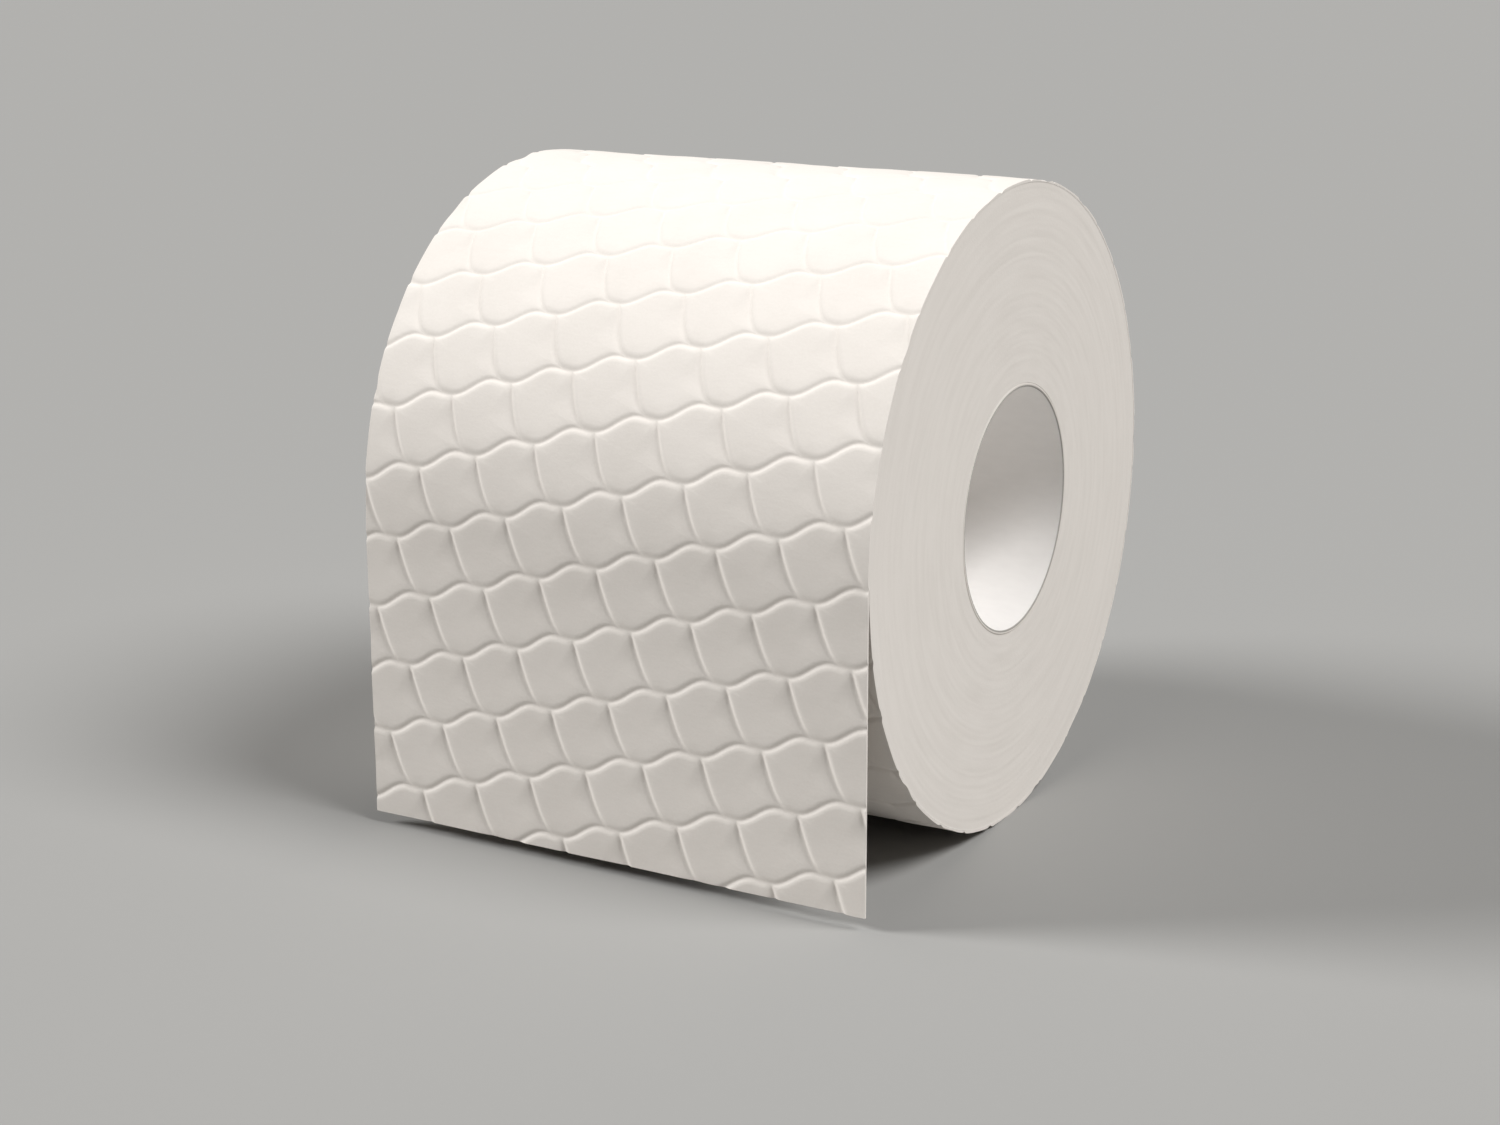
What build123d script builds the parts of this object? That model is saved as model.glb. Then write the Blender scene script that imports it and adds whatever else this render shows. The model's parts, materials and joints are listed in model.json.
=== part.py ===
from build123d import *
import math
import os

# Toilet paper roll lying on its side. The core runs along X, the roll rests on z = 0 over the
# origin, and the end of the web hangs down in front of it, at -Y. Lengths are in mm, angles in degrees.

# Roll and core
roll_width = 100.0
roll_radius = 59.0
flat_sag = 0.6  # how far the side that the roll lies on is pressed flat
bore_radius = 22.0
core_wall = 0.7
core_clearance = 0.05  # between the core and the first turn

# Hanging end of the web
sheet_thickness = 0.6
edge_height = 2.2  # the cut edge over the surface that the roll lies on
tail_root = 1.0  # the tail's sheet past the line where it leaves the roll
tail_hold = 3.0  # the tail still lies on the turn under it this far below that line
covered_turn = 75.0  # the turn that the tail hangs over, which stays plain

# Embossed lines on the flat web: wavy rows, and cross lines that hang from one row to the next
row_slope = 15.84  # the rows rise to the right
row_spacing = 11.49
row_shift = 3.81  # each row lies this far left of the row below
wave_length = 12.15
wave_height = 1.3  # crest over trough
crest_lead = 4.8  # from each crest to the next trough, where a cross line hangs
landing_lead = 1.5  # from where a cross line lands to the next trough
first_trough = (12.3, 17.94)  # along and across the rows, from the middle of the cut edge
groove_width = 1.6
groove_depth = 0.3
pad_overlap = 0.12  # each pad between the lines into the paper under it

# Turns on both ends: every second band of them lies a little deeper
turn_bands = 4
band_step = 0.3

# Worked out from these
axis_height = roll_radius - flat_sag
tail_length = axis_height - edge_height
web_length = tail_length + 2 * math.pi * roll_radius
covered_start = web_length - math.radians(covered_turn) * roll_radius
core_radius = bore_radius + core_wall
hole_radius = core_radius + core_clearance
tail_back = -roll_radius + sheet_thickness
pad_bulge = (row_spacing / 2 + wave_height) ** 2 / (2 * roll_radius)  # a flat pad's edges off the round
pad_radius = roll_radius - pad_bulge / 2
roll_pad_depth = groove_depth + pad_bulge + 2 * pad_overlap
tail_pad_depth = groove_depth + pad_overlap
wound_radius = pad_radius - groove_depth - pad_overlap
spare = wave_length  # paper and cuts past the ends and edges, before they are trimmed


def row_point(lead, column, row):
    """Point of a wavy row, along and across the rows, that lies this far before one of its troughs."""
    along = column * wave_length - row * row_shift - lead
    across = row * row_spacing + wave_height * (lead / crest_lead - 0.5)
    return along, across


def moved_out(outline, distance):
    """The outline with each of its sides moved out by a distance."""
    moved = []
    for index, (x, y) in enumerate(outline):
        before = outline[index - 1]
        after = outline[(index + 1) % len(outline)]
        arriving = math.atan2(y - before[1], x - before[0])
        leaving = math.atan2(after[1] - y, after[0] - x)
        half_turn = math.remainder(leaving - arriving, 2 * math.pi) / 2
        reach = distance / math.cos(half_turn)
        outward = arriving + half_turn - math.pi / 2
        moved.append((x + reach * math.cos(outward), y + reach * math.sin(outward)))
    return moved


def pad(depth):
    """One cell of the web between the lines: a flat top, and sides that slope down into the grooves."""
    foot = groove_width / 2 * (depth / groove_depth - 1)
    upper = [Vector(x, y, 0) for x, y in moved_out(cell_outline, -groove_width / 2)]
    lower = [Vector(x, y, -depth) for x, y in moved_out(cell_outline, foot)]
    sides = [
        Face(Wire.make_polygon((lower[i - 1], lower[i], upper[i], upper[i - 1])))
        for i in range(len(upper))
    ]
    return Solid(Shell([Face(Wire.make_polygon(upper)), Face(Wire.make_polygon(lower)), *sides]))


def web_position(column, row):
    """Middle of a cell on the flat web: x along the core, and the distance up from the cut edge."""
    along = first_trough[0] + cell_middle[0] + column * wave_length - row * row_shift
    across = first_trough[1] + cell_middle[1] + row * row_spacing
    slope = math.radians(row_slope)
    x = along * math.cos(slope) - across * math.sin(slope)
    up = along * math.sin(slope) + across * math.cos(slope)
    return x, up


def web_plane(x, up):
    """Plane on the paper's face at a point of the web, in line with its row: down the tail, or round the roll."""
    on_tail = up <= tail_length
    turn = 0 if on_tail else (up - tail_length) / roll_radius
    slope = math.radians(row_slope)
    outward = Vector(0, -math.cos(turn), math.sin(turn))
    upward = Vector(0, math.sin(turn), math.cos(turn))
    middle = Vector(x, 0, axis_height)
    if on_tail:
        middle += outward * roll_radius + upward * (up - tail_length)
    else:
        middle += outward * pad_radius
    row_direction = Vector(math.cos(slope), 0, 0) + upward * math.sin(slope)
    return Plane(middle, x_dir=row_direction, z_dir=outward)


# One cell, between two rows and two cross lines, and the places of all the cells
cell_corners = [
    row_point(landing_lead, 0, 0),
    row_point(0, 0, 0),
    row_point(crest_lead, 1, 0),
    row_point(landing_lead, 1, 0),
    row_point(0, 1, 1),
    row_point(crest_lead, 1, 1),
    row_point(0, 0, 1),
]
cell_middle = (
    sum(x for x, y in cell_corners) / len(cell_corners),
    sum(y for x, y in cell_corners) / len(cell_corners),
)
cell_outline = [(x - cell_middle[0], y - cell_middle[1]) for x, y in cell_corners]
most_cells = math.ceil(math.hypot(web_length, roll_width) / min(wave_length, row_spacing))
web_cells = [
    web_position(column, row)
    for row in range(-most_cells, most_cells)
    for column in range(-most_cells, most_cells)
]
web_cells = [(x, up) for x, up in web_cells if abs(x) < (roll_width + spare) / 2]
tail_cells = [web_plane(x, up) for x, up in web_cells if -spare < up <= tail_length]
outer_cells = [web_plane(x, up) for x, up in web_cells if tail_length < up < covered_start]

# Wound paper with its embossed outer turn and the hanging tail, all one web
with BuildPart() as paper:
    with BuildSketch(Plane.YZ.offset(-roll_width / 2 - spare)):
        with Locations((0, axis_height)):
            Circle(wound_radius)
    extrude(amount=roll_width + 2 * spare)

    # Sheet of the tail, and what holds it to the turn behind it
    with Locations((0, tail_back, axis_height + tail_root)):
        Box(
            roll_width + 2 * spare,
            sheet_thickness - groove_depth - pad_overlap / 2,
            tail_length + tail_root,
            align=(Align.CENTER, Align.MAX, Align.MAX),
        )
        Box(
            roll_width + 2 * spare,
            2 * pad_overlap,
            tail_root + tail_hold,
            align=(Align.CENTER, Align.CENTER, Align.MAX),
        )

    # Embossed pads
    with Locations(*outer_cells):
        add(pad(roll_pad_depth), clean=False)
    with Locations(*tail_cells):
        add(pad(tail_pad_depth), clean=False)

    # Trimmed to the cut edge of the tail, to the ends and to the flat that it lies on
    with Locations((0, tail_back, edge_height)):
        Box(
            roll_width + 4 * spare,
            2 * spare,
            2 * spare,
            align=(Align.CENTER, Align.CENTER, Align.MAX),
            mode=Mode.SUBTRACT,
        )
    Box(
        roll_width,
        3 * roll_radius,
        3 * roll_radius,
        align=(Align.CENTER, Align.CENTER, Align.MIN),
        mode=Mode.INTERSECT,
    )

    # Hole for the core, and the deeper bands of turns on the ends, the widest first
    with BuildSketch(Plane.YZ.offset(-roll_width / 2)):
        with Locations((0, axis_height)):
            Circle(hole_radius)
    extrude(amount=roll_width, mode=Mode.SUBTRACT)
    band_width = (wound_radius - hole_radius) / turn_bands
    for end in (-1, 1):
        with BuildSketch(Plane.YZ.offset(end * roll_width / 2)):
            with Locations((0, axis_height)):
                for band in reversed(range(0, turn_bands, 2)):
                    inner_radius = hole_radius + band * band_width
                    Circle(inner_radius + band_width)
                    Circle(inner_radius, mode=Mode.SUBTRACT)
        extrude(amount=-end * band_step, mode=Mode.SUBTRACT)
paper.part.label = "paper"

# Board tube that the paper is wound on
with BuildPart() as core:
    with BuildSketch(Plane.YZ.offset(-roll_width / 2)):
        with Locations((0, axis_height)):
            Circle(core_radius)
            Circle(bore_radius, mode=Mode.SUBTRACT)
    extrude(amount=roll_width)
core.part.label = "core"

os.makedirs("parts", exist_ok=True)
export_step(paper.part, "parts/paper.step")
export_step(core.part, "parts/core.step")
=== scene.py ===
"""Toilet paper roll: a web of embossed tissue wound on a board core, its free end hanging down in front."""

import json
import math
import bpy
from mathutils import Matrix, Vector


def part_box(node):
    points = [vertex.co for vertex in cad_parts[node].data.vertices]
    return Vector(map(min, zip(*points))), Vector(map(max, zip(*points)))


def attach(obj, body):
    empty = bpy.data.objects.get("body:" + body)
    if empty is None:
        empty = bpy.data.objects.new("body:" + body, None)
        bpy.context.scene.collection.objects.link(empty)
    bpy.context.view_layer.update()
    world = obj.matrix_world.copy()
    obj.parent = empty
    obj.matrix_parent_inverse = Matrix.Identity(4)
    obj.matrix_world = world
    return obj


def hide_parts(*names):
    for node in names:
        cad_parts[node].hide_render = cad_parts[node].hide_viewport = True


bl_info = {
    "name": "Tissue Roll",
    "version": (1, 0, 0),
    "blender": (4, 5, 0),
    "location": "3D View > Sidebar > Tissue Roll",
    "description": "Models a roll of embossed tissue on a board core, around its packed solids",
    "category": "Add Mesh",
}

import bpy
import numpy as np
from mathutils import Vector, noise

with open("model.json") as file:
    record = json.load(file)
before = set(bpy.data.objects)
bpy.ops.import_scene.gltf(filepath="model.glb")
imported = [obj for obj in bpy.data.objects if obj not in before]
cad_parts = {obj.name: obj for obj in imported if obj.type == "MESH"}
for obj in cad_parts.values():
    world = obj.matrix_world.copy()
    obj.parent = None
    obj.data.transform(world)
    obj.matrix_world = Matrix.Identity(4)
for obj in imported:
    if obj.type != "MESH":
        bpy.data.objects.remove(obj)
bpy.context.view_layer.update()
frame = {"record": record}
paper_low, paper_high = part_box("paper")
core_low, core_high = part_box("core")
bore_mount = next(mount for mount in frame["record"]["mounts"] if mount["name"] == "core_bore")

MM = 0.001
WELD = 0.002 * MM  # points nearer than this become one
CORE_GAP = 0.05 * MM  # between the core and the first turn
WEB_GAP = 0.02 * MM  # between the wound turns and the outer one

# Steps of the meshes
WAVE_STEPS = 12  # of one wave of a row
HANG_STEPS = 1  # a cross line hangs this many steps left of a trough
LAND_STEPS = 3  # and lands this many steps left of a trough of the row below
CROSS_STEPS = 10
CROSS_CROWDING = 1.4  # how much the steps of a cross line crowd towards its top
CROSS_DEEPEST = 0.45  # share of the way down a cross line
PIT_STEP = 2  # of a cross line, from its top
CELL_RINGS = (0.03, 0.065, 0.11, 0.19, 0.45)  # shares of the way from a cell's outline to its middle
SPARE_CELLS = 1  # past each edge of the web, before it is trimmed
BACK_STEP = 3 * MM  # of the back of the web, along it
TURN_STEPS = 192  # round the roll
RINGS_PER_TURN = 2
STREAK_BEND = 1.5  # how fast the streaks of the turns change round the roll
STREAK_JUMP = 0.9  # and from one turn to the next

# Angles past which an edge stays sharp
WEB_EDGE = math.radians(50)
TURN_EDGE = math.radians(60)
BOARD_EDGE = math.radians(30)

# Fine sizes of the finishes
FLUFF_SIZE = 0.45 * MM
CREPE_SIZE = 0.7 * MM
CLOUD_SIZE = 14 * MM
FIBRE_RELIEF = 0.05 * MM
STREAK_WIDTH = 1.4 * MM
STREAKS_ROUND = 3
PULP_SIZE = 1.2 * MM
PULP_RELIEF = 0.02 * MM


class RollSizes(bpy.types.PropertyGroup):
    """Sizes of the roll, its hanging end and its core."""

    width: bpy.props.FloatProperty(
        name="Width",
        description="Length of the roll along its core",
        default=paper_high.x - paper_low.x,
        unit="LENGTH",
    )
    radius: bpy.props.FloatProperty(
        name="Radius",
        description="Radius of the outer turn where it leaves for the hanging end",
        default=59.0 * MM,
        unit="LENGTH",
    )
    axis_height: bpy.props.FloatProperty(
        name="Axis Height",
        description="Height of the core's axis over the floor",
        default=(core_low.z + core_high.z) / 2,
        unit="LENGTH",
    )
    sheet: bpy.props.FloatProperty(
        name="Sheet",
        description="Thickness of the embossed web",
        default=0.56 * MM,
        unit="LENGTH",
    )
    pitch: bpy.props.FloatProperty(
        name="Pitch",
        description="From one turn to the next",
        default=0.6 * MM,
        unit="LENGTH",
    )
    edge_height: bpy.props.FloatProperty(
        name="Edge Height",
        description="Height of the hanging end's cut edge over the floor",
        default=2.2 * MM,
        unit="LENGTH",
    )
    pressed_turn: bpy.props.FloatProperty(
        name="Pressed Turn",
        description="Last part of the outer turn, where the hanging end presses its relief flat",
        default=0.2,
        unit="ROTATION",
    )
    turn_relief: bpy.props.FloatProperty(
        name="Turn Relief",
        description="How far the gaps between the turns go into the ends",
        default=0.05 * MM,
        unit="LENGTH",
    )
    core_radius: bpy.props.FloatProperty(
        name="Core Radius",
        description="Outer radius of the board core",
        default=(core_high.z - core_low.z) / 2,
        unit="LENGTH",
    )
    bore_radius: bpy.props.FloatProperty(
        name="Bore Radius",
        description="Inner radius of the board core",
        default=bore_mount["dims"]["r_mm"] * MM,
        unit="LENGTH",
    )
    core_round: bpy.props.FloatProperty(
        name="Core Round",
        description="How far the rims of the core are worn round",
        default=0.12 * MM,
        unit="LENGTH",
    )


class NetSizes(bpy.types.PropertyGroup):
    """Sizes of the embossed net: wavy rows, and cross lines that hang from one row to the next."""

    row_slope: bpy.props.FloatProperty(
        name="Row Slope",
        description="How steeply the rows rise to the right",
        default=math.radians(15.84),
        unit="ROTATION",
    )
    row_spacing: bpy.props.FloatProperty(
        name="Row Spacing",
        description="From one row to the next",
        default=11.49 * MM,
        unit="LENGTH",
    )
    row_shift: bpy.props.FloatProperty(
        name="Row Shift",
        description="How far each row lies left of the row below",
        default=3.81 * MM,
        unit="LENGTH",
    )
    wave_length: bpy.props.FloatProperty(
        name="Wave Length",
        description="From one trough of a row to the next",
        default=12.151 * MM,
        unit="LENGTH",
    )
    wave_height: bpy.props.FloatProperty(
        name="Wave Height",
        description="Crest over trough",
        default=1.57 * MM,
        unit="LENGTH",
    )
    crest_lead: bpy.props.FloatProperty(
        name="Crest Lead",
        description="From a crest to the next trough",
        default=5.25 * MM,
        unit="LENGTH",
    )
    first_trough: bpy.props.FloatVectorProperty(
        name="First Trough",
        description="Along and across the rows, from the middle of the cut edge",
        default=(12.97 * MM, 17.16 * MM),
        size=2,
        unit="LENGTH",
    )
    top_handle: bpy.props.FloatVectorProperty(
        name="Top Handle",
        description="Handle of a cross line's curve where it hangs",
        default=(0.1 * MM, -4.6 * MM),
        size=2,
        unit="LENGTH",
    )
    foot_handle: bpy.props.FloatVectorProperty(
        name="Foot Handle",
        description="Handle of a cross line's curve where it lands",
        default=(-1.8 * MM, 1.86 * MM),
        size=2,
        unit="LENGTH",
    )
    row_depth: bpy.props.FloatProperty(
        name="Row Depth",
        description="Depth of the groove along a row",
        default=0.3 * MM,
        unit="LENGTH",
    )
    row_upper_reach: bpy.props.FloatProperty(
        name="Row Upper Reach",
        description="How far the groove along a row reaches above its line",
        default=0.85 * MM,
        unit="LENGTH",
    )
    row_lower_reach: bpy.props.FloatProperty(
        name="Row Lower Reach",
        description="How far the groove along a row reaches below its line",
        default=0.75 * MM,
        unit="LENGTH",
    )
    falling_gain: bpy.props.FloatProperty(
        name="Falling Gain",
        description="How much deeper and wider the groove is where a row falls towards a trough",
        default=0.35,
        min=0,
        max=1,
        subtype="FACTOR",
    )
    cross_depth: bpy.props.FloatProperty(
        name="Cross Depth",
        description="Depth of the groove along a cross line, at its middle",
        default=0.42 * MM,
        unit="LENGTH",
    )
    cross_fade: bpy.props.FloatProperty(
        name="Cross Fade",
        description="Share of its depth that a cross line loses towards its ends",
        default=0.5,
        min=0,
        max=1,
        subtype="FACTOR",
    )
    cross_left_reach: bpy.props.FloatProperty(
        name="Cross Left Reach",
        description="How far the groove along a cross line reaches left of it",
        default=1.3 * MM,
        unit="LENGTH",
    )
    cross_right_reach: bpy.props.FloatProperty(
        name="Cross Right Reach",
        description="How far the groove along a cross line reaches right of it",
        default=0.8 * MM,
        unit="LENGTH",
    )
    pit_depth: bpy.props.FloatProperty(
        name="Pit Depth",
        description="Depth of the pit at the top of a cross line",
        default=0.4 * MM,
        unit="LENGTH",
    )
    pit_reach: bpy.props.FloatProperty(
        name="Pit Reach",
        description="How far the pit reaches left of its cross line",
        default=0.5 * MM,
        unit="LENGTH",
    )
    cell_fall: bpy.props.FloatVectorProperty(
        name="Cell Fall",
        description="How far a cell falls to its right side and to its foot",
        default=(0.26 * MM, 0.1 * MM),
        size=2,
        unit="LENGTH",
    )
    pillow: bpy.props.FloatProperty(
        name="Pillow",
        description="How far the middle of a cell swells over its edges",
        default=0.04 * MM,
        unit="LENGTH",
    )


class Finishes(bpy.types.PropertyGroup):
    """Colours of the paper, the core and the floor."""

    tissue: bpy.props.FloatVectorProperty(
        name="Tissue",
        description="Warm white of the tissue",
        default=(0.83, 0.782, 0.73),
        size=3,
        min=0,
        max=1,
        subtype="COLOR",
    )
    tissue_shade: bpy.props.FloatVectorProperty(
        name="Tissue Shade",
        description="The tissue where its fibres lie thin",
        default=(0.79, 0.742, 0.69),
        size=3,
        min=0,
        max=1,
        subtype="COLOR",
    )
    board: bpy.props.FloatVectorProperty(
        name="Board",
        description="Pale grey of the core's board",
        default=(0.95, 0.925, 0.9),
        size=3,
        min=0,
        max=1,
        subtype="COLOR",
    )
    # Dark colour of the core's rims next to the bore.
    bore_edge_dark: bpy.props.FloatVectorProperty(
        name="Cut Board",
        description="The board's cut rim",
        default=(0.36, 0.34, 0.31),
        size=3,
        min=0,
        max=1,
        subtype="COLOR",
    )
    floor: bpy.props.FloatVectorProperty(
        name="Floor",
        description="Pale studio floor",
        default=(0.34, 0.336, 0.326),
        size=3,
        min=0,
        max=1,
        subtype="COLOR",
    )


class StudioSettings(bpy.types.PropertyGroup):
    """The camera, the lights and the floor."""

    azimuth: bpy.props.FloatProperty(
        name="Azimuth",
        description="How far the camera stands to the right of the front",
        default=math.radians(28.95),
        unit="ROTATION",
    )
    elevation: bpy.props.FloatProperty(
        name="Elevation",
        description="How far the camera looks down",
        default=math.radians(13.77),
        unit="ROTATION",
    )
    distance: bpy.props.FloatProperty(
        name="Distance",
        description="From the camera to the middle of the roll",
        default=465.0 * MM,
        unit="LENGTH",
    )
    lens: bpy.props.FloatProperty(
        name="Lens",
        description="Focal length of the camera in millimetres",
        default=59.19,
        unit="CAMERA",
    )
    shift: bpy.props.FloatVectorProperty(
        name="Shift",
        description="Shift of the picture, as shares of its width",
        default=(-0.01457, -0.0572),
        size=2,
    )
    key_power: bpy.props.FloatProperty(
        name="Key Power",
        description="Strength of the light from the upper left",
        default=2.96,
        min=0,
    )
    key_spread: bpy.props.FloatProperty(
        name="Key Spread",
        description="How wide the light from the upper left is",
        default=math.radians(20),
        unit="ROTATION",
    )
    key_source: bpy.props.FloatVectorProperty(
        name="Key Source",
        description="Where the light from the upper left comes from",
        default=(-0.78, -0.36, 0.51),
        size=3,
        subtype="DIRECTION",
    )
    top_power: bpy.props.FloatProperty(
        name="Top Power",
        description="Strength of the light over the right end",
        default=2.84,
        min=0,
    )
    top_spread: bpy.props.FloatProperty(
        name="Top Spread",
        description="How wide the light over the right end is",
        default=math.radians(30),
        unit="ROTATION",
    )
    top_source: bpy.props.FloatVectorProperty(
        name="Top Source",
        description="Where the light over the right end comes from",
        default=(0.59, 0.05, 0.805),
        size=3,
        subtype="DIRECTION",
    )
    fill: bpy.props.FloatProperty(
        name="Fill",
        description="Strength of the light from all round",
        default=0.1,
        min=0,
    )
    backdrop: bpy.props.FloatProperty(
        name="Backdrop",
        description="Brightness of the plain backdrop past the floor",
        default=0.43,
        min=0,
    )
    fill_colour: bpy.props.FloatVectorProperty(
        name="Fill Colour",
        description="Colour of the light from all round and of the backdrop",
        default=(1, 0.98, 0.955),
        size=3,
        min=0,
        max=1,
        subtype="COLOR",
    )
    floor_size: bpy.props.FloatProperty(
        name="Floor Size",
        description="Length of each side of the floor",
        default=12,
        unit="LENGTH",
    )


class TissueRollSettings(bpy.types.PropertyGroup):
    """All that can be set for the roll."""

    roll: bpy.props.PointerProperty(
        name="Roll", description="Sizes of the roll and its core", type=RollSizes
    )
    net: bpy.props.PointerProperty(
        name="Net", description="Sizes of the embossed net", type=NetSizes
    )
    finishes: bpy.props.PointerProperty(
        name="Finishes", description="Colours of the pieces and the floor", type=Finishes
    )
    studio: bpy.props.PointerProperty(
        name="Studio", description="Camera, lights and floor", type=StudioSettings
    )


class Signal:
    """A shader socket that can stand in sums, products and quotients."""

    def __init__(self, finish, socket):
        self.finish = finish
        self.socket = socket

    def math(self, operation, *values):
        return self.finish.node("ShaderNodeMath", {"operation": operation}, dict(enumerate(values)))

    def __add__(self, other):
        return self.math("ADD", self, other)

    def __radd__(self, other):
        return self.math("ADD", other, self)

    def __mul__(self, other):
        return self.math("MULTIPLY", self, other)

    def __rmul__(self, other):
        return self.math("MULTIPLY", other, self)

    def __truediv__(self, other):
        return self.math("DIVIDE", self, other)

    def __rtruediv__(self, other):
        return self.math("DIVIDE", other, self)

    def __abs__(self):
        return self.math("ABSOLUTE", self)

    def ramp(self, low, high):
        """From 0 at one value to 1 at another, smoothly."""
        return self.finish.node(
            "ShaderNodeMapRange",
            {"interpolation_type": "SMOOTHSTEP"},
            {"Value": self, "From Min": low, "From Max": high},
        )


class Finish:
    """A material and its nodes, as they are added."""

    def __init__(self, name):
        self.material = bpy.data.materials.new(name)
        self.material.use_nodes = True
        self.tree = self.material.node_tree
        self.tree.nodes.clear()

    def node(self, kind, settings, sockets, output=0):
        """Adds a node, its settings first, then its sockets' values or links. Gives one of its outputs."""
        made = self.tree.nodes.new(kind)
        for name, value in settings.items():
            setattr(made, name, value)
        for name, value in sockets.items():
            if isinstance(value, Signal):
                self.tree.links.new(value.socket, made.inputs[name])
            else:
                made.inputs[name].default_value = value
        return Signal(self, made.outputs[output]) if made.outputs else None

    def place(self, scale, centre=(0, 0, 0)):
        """Object coordinates around a centre, scaled."""
        coordinates = self.node("ShaderNodeTexCoord", {}, {}, "Object")
        moved = self.node(
            "ShaderNodeVectorMath", {"operation": "SUBTRACT"}, {0: coordinates, 1: centre}
        )
        return self.node("ShaderNodeVectorMath", {"operation": "MULTIPLY"}, {0: moved, 1: scale})

    def from_axis(self, roll):
        """Distance from the core's axis."""
        place = self.place((0, 1, 1), (0, 0, roll.axis_height))
        return self.node("ShaderNodeVectorMath", {"operation": "LENGTH"}, {0: place}, "Value")

    def noise(self, vector, scale, detail):
        """Cloudy noise from 0 to 1."""
        return self.node(
            "ShaderNodeTexNoise", {}, {"Vector": vector, "Scale": scale, "Detail": detail}
        )

    def mix(self, factor, first, second):
        """A colour between two."""
        return self.node(
            "ShaderNodeMix",
            {"data_type": "RGBA"},
            {
                "Factor": factor,
                6: first if isinstance(first, Signal) else (*first, 1),
                7: second if isinstance(second, Signal) else (*second, 1),
            },
            2,
        )

    def bump(self, height, distance, strength):
        """Normals of a height from 0 to 1 that stands this high."""
        return self.node(
            "ShaderNodeBump", {}, {"Height": height, "Distance": distance, "Strength": strength}
        )

    def surface(self, **sockets):
        """The shader, and the material that is now whole."""
        shader = self.node(
            "ShaderNodeBsdfPrincipled",
            {},
            {name.replace("_", " ").title(): value for name, value in sockets.items()},
        )
        self.node("ShaderNodeOutputMaterial", {}, {"Surface": shader})
        return self.material


def tissue_fibres(finish):
    """Soft fibres of creped tissue, finer across the core than along it."""
    fluff = finish.noise(finish.place((1, 1, 1)), 1 / FLUFF_SIZE, 3)
    crepe = finish.noise(finish.place((0.3, 1, 1)), 1 / CREPE_SIZE, 2)
    return 0.6 * fluff + 0.4 * crepe


def tissue_material(colours):
    """Matt white tissue, cloudy and fibrous."""
    finish = Finish("embossed_tissue")
    fibres = tissue_fibres(finish)
    clouds = finish.noise(finish.place((1, 1, 1)), 1 / CLOUD_SIZE, 2)
    thin = (0.5 * clouds + 0.5 * fibres).ramp(0.35, 0.7)
    return finish.surface(
        base_color=finish.mix(thin, colours.tissue, colours.tissue_shade),
        roughness=0.95,
        normal=finish.bump(fibres, FIBRE_RELIEF, 0.6),
    )


def turns_material(colours, roll):
    """The same tissue seen on its cut edges, with faint streaks along the turns."""
    finish = Finish("wound_tissue")
    fibres = tissue_fibres(finish)
    around = finish.place((1, 1, 1), (0, 0, roll.axis_height))
    across = finish.node("ShaderNodeSeparateXYZ", {}, {"Vector": around}, "Y")
    upward = finish.node("ShaderNodeSeparateXYZ", {}, {"Vector": around}, "Z")
    distance = finish.from_axis(roll)
    streak_place = finish.node(
        "ShaderNodeCombineXYZ",
        {},
        {
            "X": distance / STREAK_WIDTH,
            "Y": STREAKS_ROUND * across / distance,
            "Z": STREAKS_ROUND * upward / distance,
        },
    )
    streaks = finish.noise(streak_place, 1, 4)
    shade = (0.75 * streaks + 0.25 * fibres).ramp(0.35, 0.7)
    return finish.surface(
        base_color=finish.mix(shade, colours.tissue, colours.tissue_shade),
        roughness=0.95,
        normal=finish.bump(fibres, FIBRE_RELIEF, 0.5),
    )


def board_material(colours, roll):
    """Smooth pale board whose rims are dark along the bore's edge and pale beside the paper."""
    finish = Finish("core_board")
    along = finish.node("ShaderNodeSeparateXYZ", {}, {"Vector": finish.place((1, 1, 1))}, "X")
    rim = abs(along).ramp(roll.width / 2 - 0.25 * MM, roll.width / 2 - 0.05 * MM)
    outer = finish.from_axis(roll).ramp(roll.bore_radius + 0.2 * MM, roll.bore_radius + 0.4 * MM)
    pulp = finish.noise(finish.place((0.4, 1, 1)), 1 / PULP_SIZE, 4)
    board = finish.mix(pulp.ramp(0.3, 0.75), colours.board, [0.98 * part for part in colours.board])
    # The rims are dark within a few tenths of a millimetre of the bore and pale further out.
    cut = finish.mix(outer, colours.bore_edge_dark, colours.tissue_shade)
    return finish.surface(
        base_color=finish.mix(rim, board, cut),
        roughness=0.8,
        normal=finish.bump(pulp, PULP_RELIEF, 0.2),
    )


def floor_material(colours):
    """Plain pale floor without gloss."""
    finish = Finish("studio_floor")
    shader = finish.node("ShaderNodeBsdfDiffuse", {}, {"Color": (*colours.floor, 1)})
    finish.node("ShaderNodeOutputMaterial", {}, {"Surface": shader})
    return finish.material


def start_editing():
    """Edit mode on the object just added, which is selected all over."""
    bpy.ops.object.mode_set(mode="EDIT")
    bpy.ops.mesh.select_mode(type="VERT")
    bpy.ops.mesh.select_all(action="SELECT")


def new_ring(name, points):
    """An object with one closed line of edges through these points, added as a circle."""
    bpy.ops.object.select_all(action="DESELECT")
    bpy.ops.mesh.primitive_circle_add(vertices=len(points), radius=1, fill_type="NOTHING")
    piece = bpy.context.object
    piece.name = name
    piece.data.name = name
    piece.data.vertices.foreach_set("co", np.array(points, np.float32).ravel())
    return piece


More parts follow.
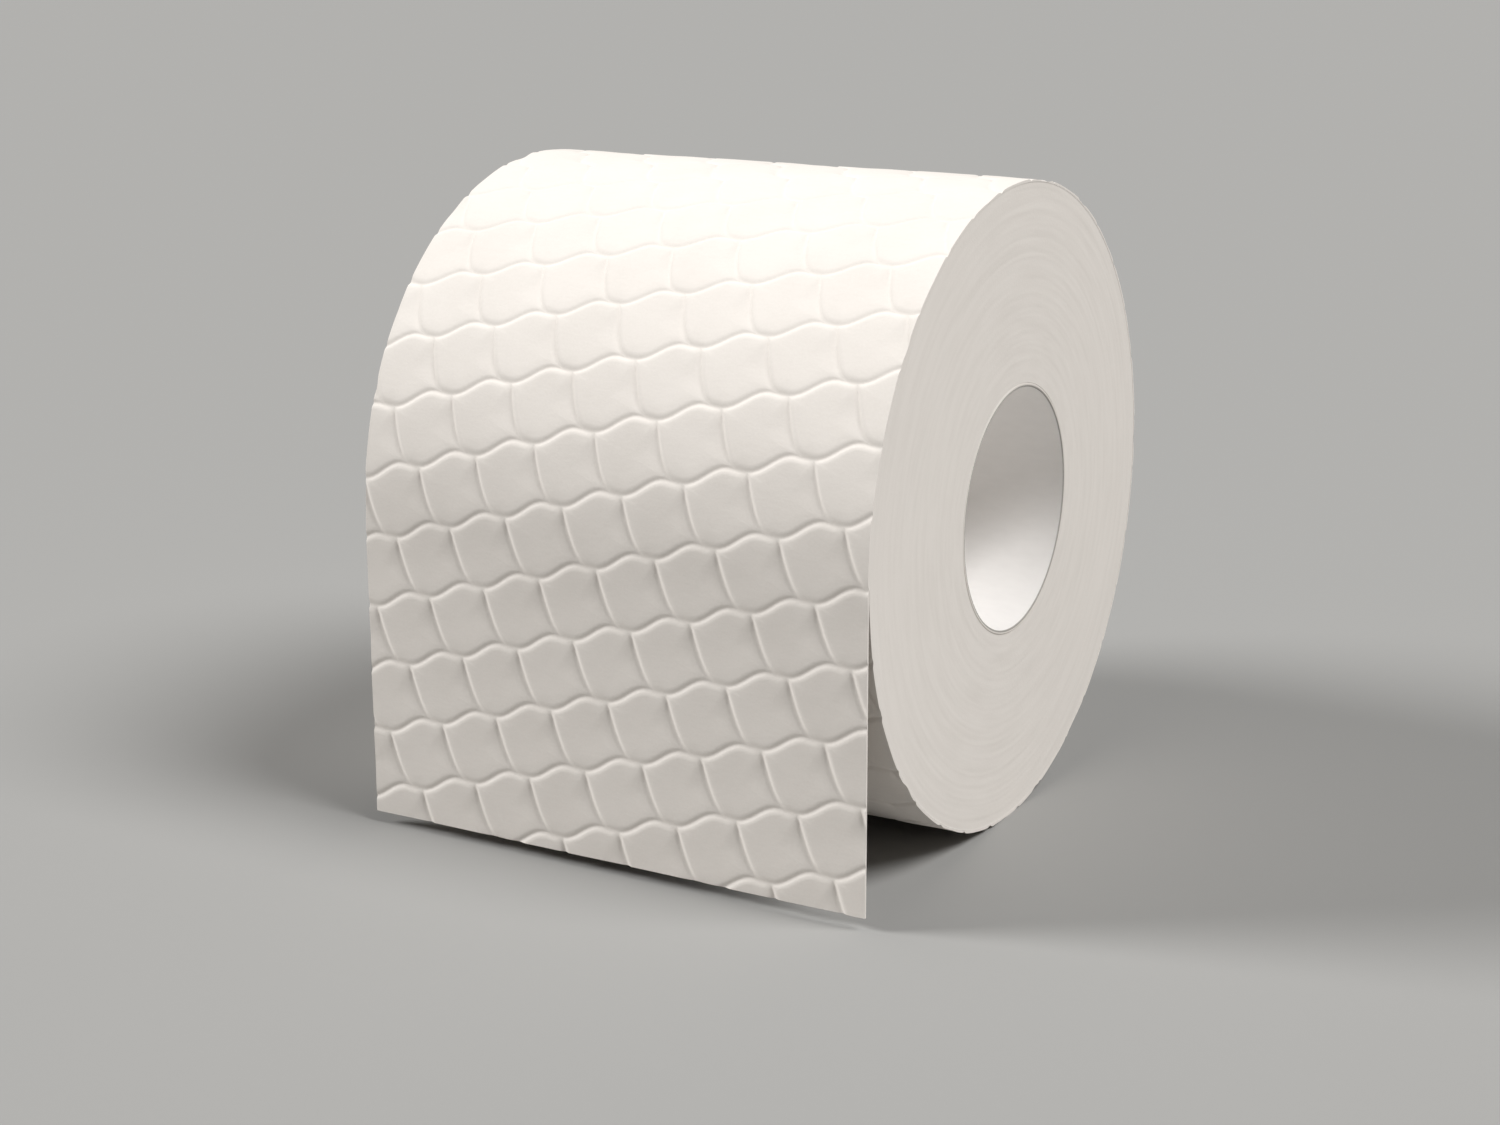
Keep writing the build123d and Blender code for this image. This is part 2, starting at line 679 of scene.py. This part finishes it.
def finish_piece(piece, material, node, sharp_angle):
    """Shades a piece, gives it its material and body, and hides the solid it stands for."""
    bpy.ops.object.select_all(action="DESELECT")
    piece.select_set(True)
    bpy.context.view_layer.objects.active = piece
    bpy.ops.object.shade_smooth_by_angle(angle=sharp_angle)
    piece.data.materials.clear()
    piece.data.materials.append(material)
    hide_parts(node)
    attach(piece, "root")


def row_level(net, along):
    """Height of a wavy row over its mean line, this far right of a trough."""
    along %= net.wave_length
    rise = net.wave_length - net.crest_lead
    if along < rise:
        phase = along / rise / 2
    else:
        phase = 0.5 + (along - rise) / net.crest_lead / 2
    return -net.wave_height / 2 * math.cos(2 * math.pi * phase)


def row_point(net, step, row):
    """Point of a row, along and across the rows, this many steps right of a trough."""
    along = step * net.wave_length / WAVE_STEPS
    return Vector((along - row * net.row_shift, row * net.row_spacing + row_level(net, along)))


def row_groove(net, step, reach):
    """Depth and reach of a row's groove at a step, both larger where the row falls towards a trough."""
    lead = -step * net.wave_length / WAVE_STEPS % net.wave_length
    gain = 1 + net.falling_gain * math.sin(math.pi * min(lead / net.crest_lead, 1))
    return net.row_depth * gain, reach * gain


def cross_line(net):
    """Steps of a cross line from under the row that it hangs from, closer at its top, and their depths."""
    top = row_point(net, -HANG_STEPS, 1)
    foot = row_point(net, -LAND_STEPS, 0)
    stations = (top, top + Vector(net.top_handle), foot + Vector(net.foot_handle), foot)
    points = []
    depths = []
    for step in range(1, CROSS_STEPS):
        share = (step / CROSS_STEPS) ** CROSS_CROWDING
        pulls = ((1 - share) ** 3, 3 * share * (1 - share) ** 2, 3 * share**2 * (1 - share), share**3)
        points.append(sum((pull * station for pull, station in zip(pulls, stations)), Vector((0, 0))))
        depths.append(net.cross_depth * (1 - net.cross_fade * (2 * share - 2 * CROSS_DEEPEST) ** 2))
    depths[PIT_STEP - 1] = net.pit_depth
    return points, depths


def cell_outline(net):
    """Outline of a cell, and the depth and reach of the grooves along it."""
    left, depths = cross_line(net)
    right = [point + Vector((net.wave_length, 0)) for point in reversed(left)]
    lower_steps = [step - LAND_STEPS for step in range(WAVE_STEPS + 1)]
    upper_steps = [WAVE_STEPS - HANG_STEPS - step for step in range(WAVE_STEPS + 1)]
    lower = [row_point(net, step, 0) for step in lower_steps]
    upper = [row_point(net, step, 1) for step in upper_steps]
    left_reaches = [net.cross_left_reach] * len(depths)
    left_reaches[PIT_STEP - 1] = net.pit_reach
    grooves = [row_groove(net, step, net.row_upper_reach) for step in lower_steps]
    grooves += list(zip(depths, left_reaches))[::-1]
    grooves += [row_groove(net, step, net.row_lower_reach) for step in upper_steps]
    grooves += [(depth, net.cross_right_reach) for depth in depths]
    return np.array([*lower, *right, *upper, *left]), np.array(grooves)


def cell_levels(net, points, outline, grooves):
    """Heights of points of a cell over its flat, from their distance to the grooves along its outline."""
    starts = outline[None]
    spans = np.roll(outline, -1, axis=0)[None] - starts
    offsets = points[:, None] - starts
    share = (offsets * spans).sum(2) / (spans * spans).sum(2)
    share = share.clip(0, 1)
    distance = np.linalg.norm(offsets - share[..., None] * spans, axis=2)
    depth, reach = (
        grooves[None] + share[..., None] * (np.roll(grooves, -1, axis=0) - grooves)[None]
    ).transpose(2, 0, 1)
    dip = (1 + np.cos(math.pi * np.minimum(distance / reach, 1))) / 2
    corners = np.cumsum((WAVE_STEPS, CROSS_STEPS, WAVE_STEPS))
    lower, right, upper, left = (side.min(1) for side in np.split(distance, corners, axis=1))
    off_rows = (np.minimum(lower, upper) / (net.row_spacing / 2)).clip(0, 1)
    fall = net.cell_fall[0] * left / (left + right) * off_rows**2 * (3 - 2 * off_rows)
    fall += net.cell_fall[1] * upper / (upper + lower)
    swell_reach = 2 * net.row_upper_reach
    swell = net.pillow * np.exp(-((distance.min(1) / swell_reach) ** 2))
    land = -(fall + swell)[:, None]
    return (land - (land + net.pillow + depth) * dip).min(1)


def on_web(net, along, across):
    """Place on the flat web, from the middle of its cut edge, of a place along and across the rows."""
    slope_cos = math.cos(net.row_slope)
    slope_sin = math.sin(net.row_slope)
    return along * slope_cos - across * slope_sin, along * slope_sin + across * slope_cos


def add_cell(net):
    """One embossed cell of the flat web, x along the core, y up the web and z out of the paper."""
    outline, grooves = cell_outline(net)
    piece = new_ring("embossed_web", [(*point, 0) for point in outline])
    start_editing()
    bpy.ops.mesh.edge_face_add()
    middle = outline.mean(axis=0)
    size = 1
    for share in CELL_RINGS:
        bpy.ops.mesh.inset(thickness=0)
        bpy.ops.transform.resize(value=((1 - share) / size,) * 3, center_override=(*middle, 0))
        size = 1 - share
    bpy.ops.mesh.poke()
    bpy.ops.object.mode_set(mode="OBJECT")
    places = np.empty(3 * len(piece.data.vertices), np.float32)
    piece.data.vertices.foreach_get("co", places)
    along, across, out = places.reshape(-1, 3).T
    out = cell_levels(net, np.stack((along, across), axis=1), outline, grooves)
    x, up = on_web(net, along + net.first_trough[0], across + net.first_trough[1])
    piece.data.vertices.foreach_set("co", np.stack((x, up, out), axis=1).astype(np.float32).ravel())
    return piece


def web_length(roll):
    """Length of the web that shows: the hanging end and the outer turn."""
    return roll.axis_height - roll.edge_height + 2 * math.pi * roll.radius


def first_column(net, roll, row):
    """The column of cells with which a row starts left of the web."""
    across = net.first_trough[1] + row * net.row_spacing
    left = across * math.tan(net.row_slope) - roll.width / 2 / math.cos(net.row_slope)
    column = math.floor((left - net.first_trough[0] + row * net.row_shift) / net.wave_length)
    return column - SPARE_CELLS


def cell_move(net, columns, rows):
    """From a cell to another, on the flat web."""
    along = columns * net.wave_length - rows * net.row_shift
    return (*on_web(net, along, rows * net.row_spacing), 0)


def tile_web(piece, net, roll):
    """Copies the cell along a row, then the row up the web, and trims the web to its edges."""
    half = roll.width / 2
    lean = half * math.sin(net.row_slope)
    span = web_length(roll) * math.cos(net.row_slope)
    first_row = math.floor((-lean - net.first_trough[1]) / net.row_spacing) - SPARE_CELLS
    last_row = math.ceil((span + lean - net.first_trough[1]) / net.row_spacing)
    start_editing()
    bpy.ops.transform.translate(value=cell_move(net, first_column(net, roll, first_row), first_row))
    bpy.ops.object.mode_set(mode="OBJECT")
    row = piece.modifiers.new("row", "ARRAY")
    row.count = math.ceil(roll.width / math.cos(net.row_slope) / net.wave_length) + 1 + 2 * SPARE_CELLS
    row.use_relative_offset = False
    row.use_constant_offset = True
    row.constant_offset_displace = cell_move(net, 1, 0)
    bpy.ops.object.modifier_apply(modifier=row.name)
    start_editing()
    for number in range(first_row, last_row):
        columns = first_column(net, roll, number + 1) - first_column(net, roll, number)
        bpy.ops.mesh.duplicate_move(TRANSFORM_OT_translate={"value": cell_move(net, columns, 1)})
    bpy.ops.mesh.select_all(action="SELECT")
    bpy.ops.mesh.remove_doubles(threshold=WELD)
    trims = (
        ((half, 0, 0), (1, 0, 0)),
        ((-half, 0, 0), (-1, 0, 0)),
        ((0, 0, 0), (0, -1, 0)),
        ((0, web_length(roll), 0), (0, 1, 0)),
    )
    for point, outward in trims:
        bpy.ops.mesh.select_all(action="SELECT")
        bpy.ops.mesh.bisect(plane_co=point, plane_no=outward, clear_outer=True, threshold=WELD)


def back_web(roll):
    """Gives the web its thickness: walls along its edges, and a flat back in strips that can bend."""
    bpy.ops.mesh.select_mode(type="EDGE")
    bpy.ops.mesh.select_all(action="DESELECT")
    bpy.ops.mesh.select_non_manifold(
        use_wire=False, use_multi_face=False, use_non_contiguous=False, use_verts=False
    )
    bpy.ops.mesh.extrude_edges_move(TRANSFORM_OT_translate={"value": (0, 0, -roll.sheet)})
    bpy.ops.transform.resize(value=(1, 1, 0), center_override=(0, 0, -roll.sheet))
    bpy.ops.mesh.edge_face_add()
    bpy.ops.mesh.select_mode(type="FACE")
    bpy.ops.mesh.hide(unselected=True)
    for strip in range(1, math.ceil(web_length(roll) / BACK_STEP)):
        bpy.ops.mesh.select_all(action="SELECT")
        bpy.ops.mesh.bisect(plane_co=(0, strip * BACK_STEP, 0), plane_no=(0, 1, 0), threshold=WELD)
    bpy.ops.mesh.reveal()
    bpy.ops.mesh.select_all(action="SELECT")
    bpy.ops.mesh.normals_make_consistent(inside=False)
    bpy.ops.object.mode_set(mode="OBJECT")


def wind_web(piece, roll):
    """Hangs the web's first stretch straight down, and winds the rest once round the roll."""
    places = np.empty(3 * len(piece.data.vertices), np.float32)
    piece.data.vertices.foreach_get("co", places)
    x, up, out = places.reshape(-1, 3).astype(float).T
    x = x.clip(-roll.width / 2, roll.width / 2)
    past_root = up - (roll.axis_height - roll.edge_height)
    turn = np.maximum(past_root, 0) / roll.radius
    pressed = ((turn - 2 * math.pi) / roll.pressed_turn + 1).clip(0, 1)
    out = np.where(out > WELD - roll.sheet, out * (1 - pressed), out)
    reach = roll.radius - roll.pitch * turn / (2 * math.pi) + out
    y = -reach * np.cos(turn)
    z = roll.axis_height + reach * np.sin(turn) + np.minimum(past_root, 0)
    z = np.maximum(z, 0)
    piece.data.vertices.foreach_set("co", np.stack((x, y, z), axis=1).astype(np.float32).ravel())
    piece.data.update()


class TISSUE_ROLL_OT_web(bpy.types.Operator):
    """Model the embossed web: the hanging end and the outer turn"""

    bl_idname = "tissue_roll.web"
    bl_label = "Embossed Web"

    def execute(self, context):
        settings = context.scene.tissue_roll
        piece = add_cell(settings.net)
        tile_web(piece, settings.net, settings.roll)
        back_web(settings.roll)
        wind_web(piece, settings.roll)
        finish_piece(piece, tissue_material(settings.finishes), "paper", WEB_EDGE)
        return {"FINISHED"}


def turns_profile(roll):
    """Section of the wound turns: out along the right end and back along the left one."""
    hole = roll.core_radius + CORE_GAP
    outer = roll.radius - roll.sheet - WEB_GAP
    step = roll.pitch / RINGS_PER_TURN
    rings = math.floor((outer - hole) / step)
    radii = [hole] + [outer - step * (rings - ring) for ring in range(1, rings + 1)]
    right = [(roll.width / 2, -radius, roll.axis_height) for radius in radii]
    left = [(-roll.width / 2, -radius, roll.axis_height) for radius in reversed(radii)]
    return right + left, hole, step, outer


def turn_streak(turn, angle):
    """Unevenness of the turns, from -1 to 1: long streaks along them."""
    return noise.noise((STREAK_BEND * math.cos(angle), STREAK_BEND * math.sin(angle), STREAK_JUMP * turn))


def wind_turns(piece, roll, hole, step, outer, columns):
    """Draws the rings of the ends in to a spiral, and sets each turn a little in or out."""
    for vertex in piece.data.vertices:
        x, y, z = vertex.co
        angle = 2 * math.pi * (vertex.index // columns) / TURN_STEPS
        radius = math.hypot(y, z - roll.axis_height)
        ring = round((outer - radius) / step)
        turn = ring / RINGS_PER_TURN + angle / (2 * math.pi)
        radius -= roll.pitch * angle / (2 * math.pi)
        depth = 0.5 * roll.turn_relief * (1 + turn_streak(turn, angle))
        if ring % RINGS_PER_TURN:
            depth += roll.turn_relief
        if radius < hole + WELD:
            radius = hole
            depth = roll.turn_relief
        vertex.co = (
            math.copysign(roll.width / 2 - depth, x),
            -radius * math.cos(angle),
            roll.axis_height + radius * math.sin(angle),
        )


class TISSUE_ROLL_OT_turns(bpy.types.Operator):
    """Model the wound turns inside the outer one, open at the core"""

    bl_idname = "tissue_roll.turns"
    bl_label = "Wound Turns"

    def execute(self, context):
        settings = context.scene.tissue_roll
        roll = settings.roll
        profile, hole, step, outer = turns_profile(roll)
        piece = new_ring("wound_turns", profile)
        start_editing()
        bpy.ops.mesh.spin(
            steps=TURN_STEPS,
            angle=2 * math.pi,
            use_auto_merge=False,
            center=(0, 0, roll.axis_height),
            axis=(-1, 0, 0),
        )
        bpy.ops.object.mode_set(mode="OBJECT")
        wind_turns(piece, roll, hole, step, outer, len(profile))
        start_editing()
        bpy.ops.mesh.remove_doubles(threshold=WELD)
        bpy.ops.mesh.dissolve_degenerate(threshold=WELD)
        bpy.ops.mesh.select_all(action="SELECT")
        bpy.ops.mesh.fill_holes(sides=0)
        bpy.ops.mesh.select_all(action="SELECT")
        bpy.ops.mesh.normals_make_consistent(inside=False)
        bpy.ops.object.mode_set(mode="OBJECT")
        material = turns_material(settings.finishes, roll)
        finish_piece(piece, material, "paper", TURN_EDGE)
        return {"FINISHED"}


class TISSUE_ROLL_OT_core(bpy.types.Operator):
    """Model the board core"""

    bl_idname = "tissue_roll.core"
    bl_label = "Board Core"

    def execute(self, context):
        settings = context.scene.tissue_roll
        roll = settings.roll
        half = roll.width / 2
        soft = roll.core_round
        corners = [
            (half - soft, roll.bore_radius),
            (half, roll.bore_radius + soft),
            (half, roll.core_radius - soft),
            (half - soft, roll.core_radius),
        ]
        corners += [(-x, radius) for x, radius in reversed(corners)]
        piece = new_ring("board_core", [(x, -radius, roll.axis_height) for x, radius in corners])
        start_editing()
        bpy.ops.mesh.spin(
            steps=TURN_STEPS,
            angle=2 * math.pi,
            center=(0, 0, roll.axis_height),
            axis=(-1, 0, 0),
        )
        bpy.ops.mesh.select_all(action="SELECT")
        bpy.ops.mesh.remove_doubles(threshold=WELD)
        bpy.ops.mesh.normals_make_consistent(inside=False)
        bpy.ops.object.mode_set(mode="OBJECT")
        material = board_material(settings.finishes, roll)
        finish_piece(piece, material, "core", BOARD_EDGE)
        return {"FINISHED"}


def add_light(name, power, spread, source):
    """A wide soft light, the same all over the floor, from a source in this direction."""
    light = bpy.data.lights.new(name, "SUN")
    light.energy = power
    light.angle = spread
    lamp = bpy.data.objects.new(name, light)
    lamp.location = source
    lamp.rotation_euler = Vector(source).to_track_quat("Z", "Y").to_euler()
    bpy.context.scene.collection.objects.link(lamp)


def studio_world(studio):
    """A weak soft fill from all round, behind a backdrop as pale as the floor."""
    world = bpy.data.worlds.new("studio")
    world.use_nodes = True
    nodes = world.node_tree.nodes
    background = nodes["Background"]
    background.inputs["Color"].default_value = (*studio.fill_colour, 1)
    seen = nodes.new("ShaderNodeLightPath")
    strength = nodes.new("ShaderNodeMapRange")
    strength.inputs["To Min"].default_value = studio.fill
    strength.inputs["To Max"].default_value = studio.backdrop
    world.node_tree.links.new(seen.outputs[0], strength.inputs["Value"])
    world.node_tree.links.new(strength.outputs[0], background.inputs["Strength"])
    return world


class TISSUE_ROLL_OT_studio(bpy.types.Operator):
    """Set up the floor, the lights and the camera"""

    bl_idname = "tissue_roll.studio"
    bl_label = "Studio"

    def execute(self, context):
        settings = context.scene.tissue_roll
        studio = settings.studio
        scene = context.scene
        bpy.ops.object.select_all(action="DESELECT")
        bpy.ops.mesh.primitive_plane_add(size=studio.floor_size)
        floor = context.object
        floor.name = "studio_floor"
        floor.data.materials.append(floor_material(settings.finishes))

        middle = Vector((0, 0, settings.roll.axis_height))
        add_light("key_light", studio.key_power, studio.key_spread, studio.key_source)
        add_light("top_light", studio.top_power, studio.top_spread, studio.top_source)
        scene.world = studio_world(studio)
        scene.view_settings.view_transform = "Standard"

        camera_data = bpy.data.cameras.new("camera")
        camera_data.lens = studio.lens
        camera_data.shift_x, camera_data.shift_y = studio.shift
        camera_data.clip_start = 10 * MM
        camera = bpy.data.objects.new("camera", camera_data)
        back = Vector(
            (
                math.sin(studio.azimuth) * math.cos(studio.elevation),
                -math.cos(studio.azimuth) * math.cos(studio.elevation),
                math.sin(studio.elevation),
            )
        )
        camera.location = middle + studio.distance * back
        camera.rotation_euler = back.to_track_quat("Z", "Y").to_euler()
        scene.collection.objects.link(camera)
        scene.camera = camera
        return {"FINISHED"}


class TISSUE_ROLL_PT_panel(bpy.types.Panel):
    """Lists the pieces of the roll and what can be set for them"""

    bl_idname = "TISSUE_ROLL_PT_panel"
    bl_label = "Tissue Roll"
    bl_space_type = "VIEW_3D"
    bl_region_type = "UI"
    bl_category = "Tissue Roll"

    def draw(self, context):
        for operator in OPERATORS:
            self.layout.operator(operator.bl_idname)
        settings = context.scene.tissue_roll
        for group in (settings.roll, settings.net, settings.finishes, settings.studio):
            box = self.layout.box()
            for name in group.__annotations__:
                box.prop(group, name)


OPERATORS = (TISSUE_ROLL_OT_web, TISSUE_ROLL_OT_turns, TISSUE_ROLL_OT_core, TISSUE_ROLL_OT_studio)
CLASSES = (
    RollSizes,
    NetSizes,
    Finishes,
    StudioSettings,
    TissueRollSettings,
    *OPERATORS,
    TISSUE_ROLL_PT_panel,
)


def register():
    for made in CLASSES:
        bpy.utils.register_class(made)
    bpy.types.Scene.tissue_roll = bpy.props.PointerProperty(type=TissueRollSettings)


def unregister():
    del bpy.types.Scene.tissue_roll
    for made in reversed(CLASSES):
        bpy.utils.unregister_class(made)


def main():
    register()
    bpy.ops.tissue_roll.web()
    bpy.ops.tissue_roll.turns()
    bpy.ops.tissue_roll.core()
    bpy.ops.tissue_roll.studio()


if __name__ == "__main__":
    main()
